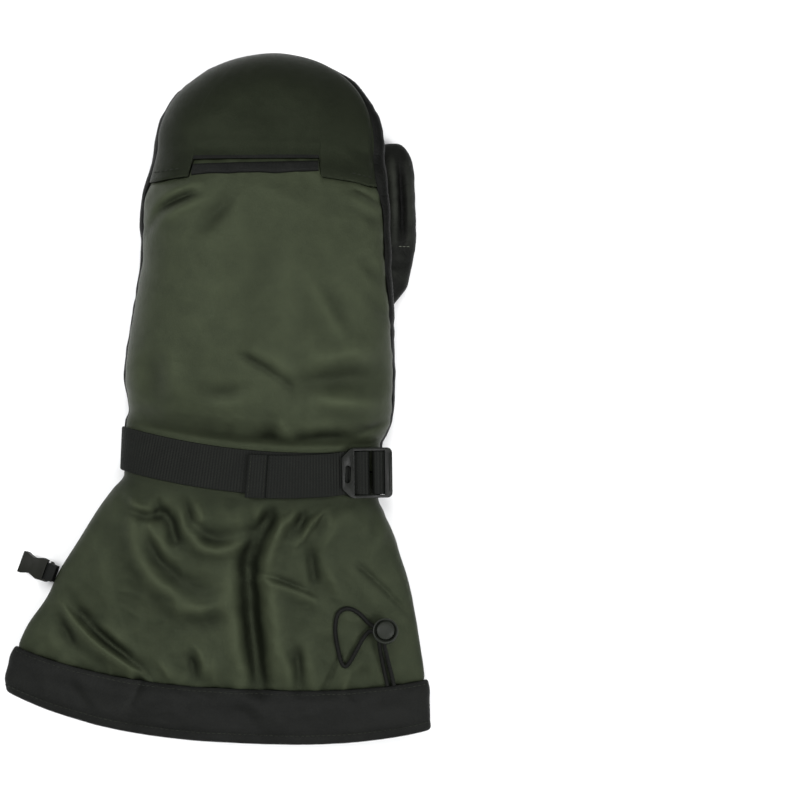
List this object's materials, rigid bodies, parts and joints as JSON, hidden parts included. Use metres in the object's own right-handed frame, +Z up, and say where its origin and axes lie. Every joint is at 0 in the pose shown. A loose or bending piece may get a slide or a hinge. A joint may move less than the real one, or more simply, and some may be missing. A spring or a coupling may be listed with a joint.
{
  "type": "expedition mitten",
  "caption": "Padded left-hand expedition mitten lying palm down: long flared gauntlet, webbing wrist strap with ladder-lock buckle, leather palm and thumb, hem draw cord with a cord lock.",
  "frame": {"origin": "centre of the mitten's outline on the surface it lies on", "axes": "+Y from the hem to the fingertips, +X towards the thumb, +Z up out of the back of the hand"},
  "size_m": [0.2494, 0.4002, 0.0595],
  "materials": {
    "green_nylon": "coated woven nylon",
    "dark_cap_cloth": "coated woven nylon",
    "black_leather": "matte",
    "black_nylon": "matte",
    "black_webbing": "ribbed webbing",
    "black_plastic": "moulded",
    "grey_plastic": "moulded",
    "black_cord": "elastic cord"
  },
  "bodies": {
    "mitten": {"back_panel": "green_nylon", "fingertip_cap": "dark_cap_cloth", "pocket_binding": "black_nylon", "palm_panel": "black_leather", "thumb": "black_leather", "gauntlet": "green_nylon", "hem_band": "black_nylon", "wrist_strap": "black_webbing", "buckle_webbing": "black_webbing", "strap_buckle": "black_plastic", "clip_socket": "black_plastic", "clip_webbing": "black_webbing", "cord_lock_body": "grey_plastic", "draw_cord": "black_cord"},
    "button": {"cord_lock_button": "grey_plastic"}
  },
  "joints": [
    {"name": "button_slide", "type": "slide", "parent": "mitten", "child": "button", "axis": [0, -0.1564, -0.9877], "range_m": [0, 0.003], "stiffness_N_per_m": 600, "springref_m": -0.001}
  ]
}
